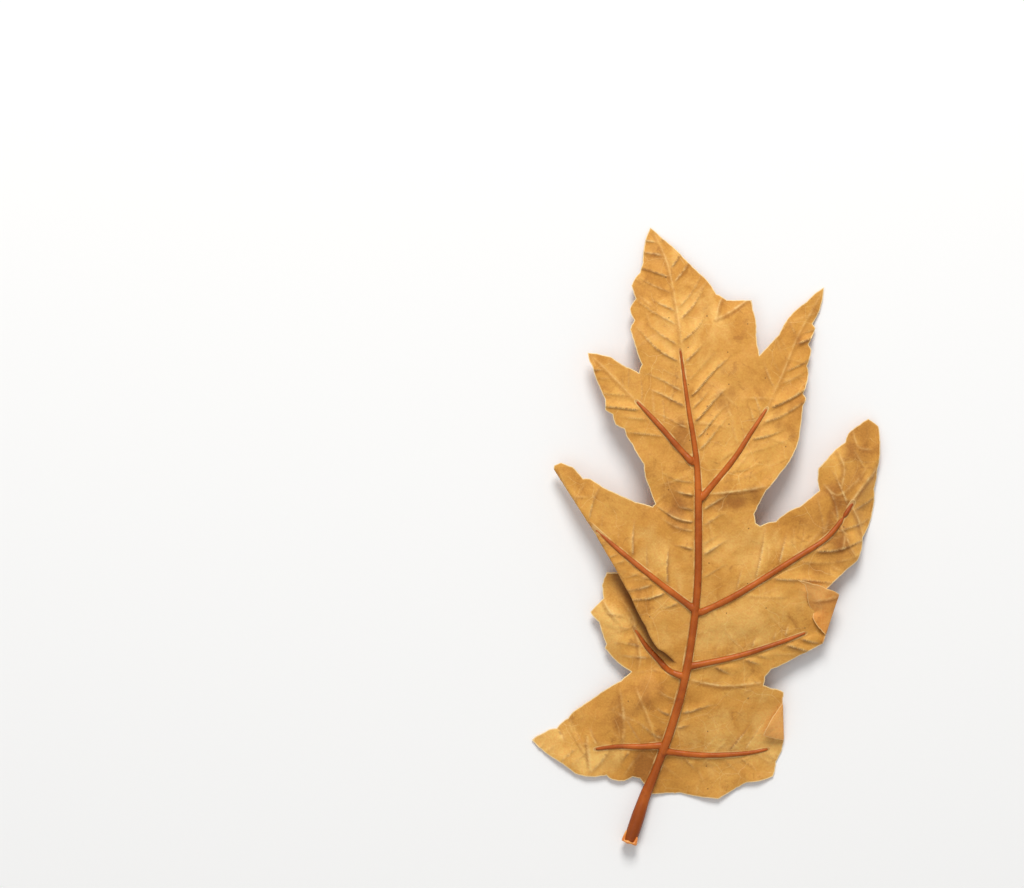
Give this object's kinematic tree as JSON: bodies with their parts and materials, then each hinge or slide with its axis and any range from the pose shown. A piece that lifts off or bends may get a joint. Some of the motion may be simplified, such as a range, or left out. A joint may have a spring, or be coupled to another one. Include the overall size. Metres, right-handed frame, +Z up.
{
  "type": "artificial autumn leaf",
  "caption": "Lobed artificial autumn leaf of pressed tan fabric with a moulded rust-brown rib frame and stalk, lying on its back with its ribs up.",
  "frame": {"origin": "under the middle of the leaf's bounding box, on the surface that it lies on", "axes": "+Y from the stalk's foot to the leaf's tip, +X to the right when the ribs are seen from above, +Z up, out of the ribbed face"},
  "size_m": [0.119, 0.212, 0.0164],
  "materials": {
    "pressed_fabric": "matt, pressed into fine pleats, with brownish mottling and a paler cut edge",
    "rib_plastic": "satin moulded plastic",
    "glue": "semi-gloss, lumpy"
  },
  "bodies": {
    "root": {"blade": "pressed_fabric", "rib_frame": "rib_plastic", "glue_collar": "glue"}
  },
  "joints": []
}
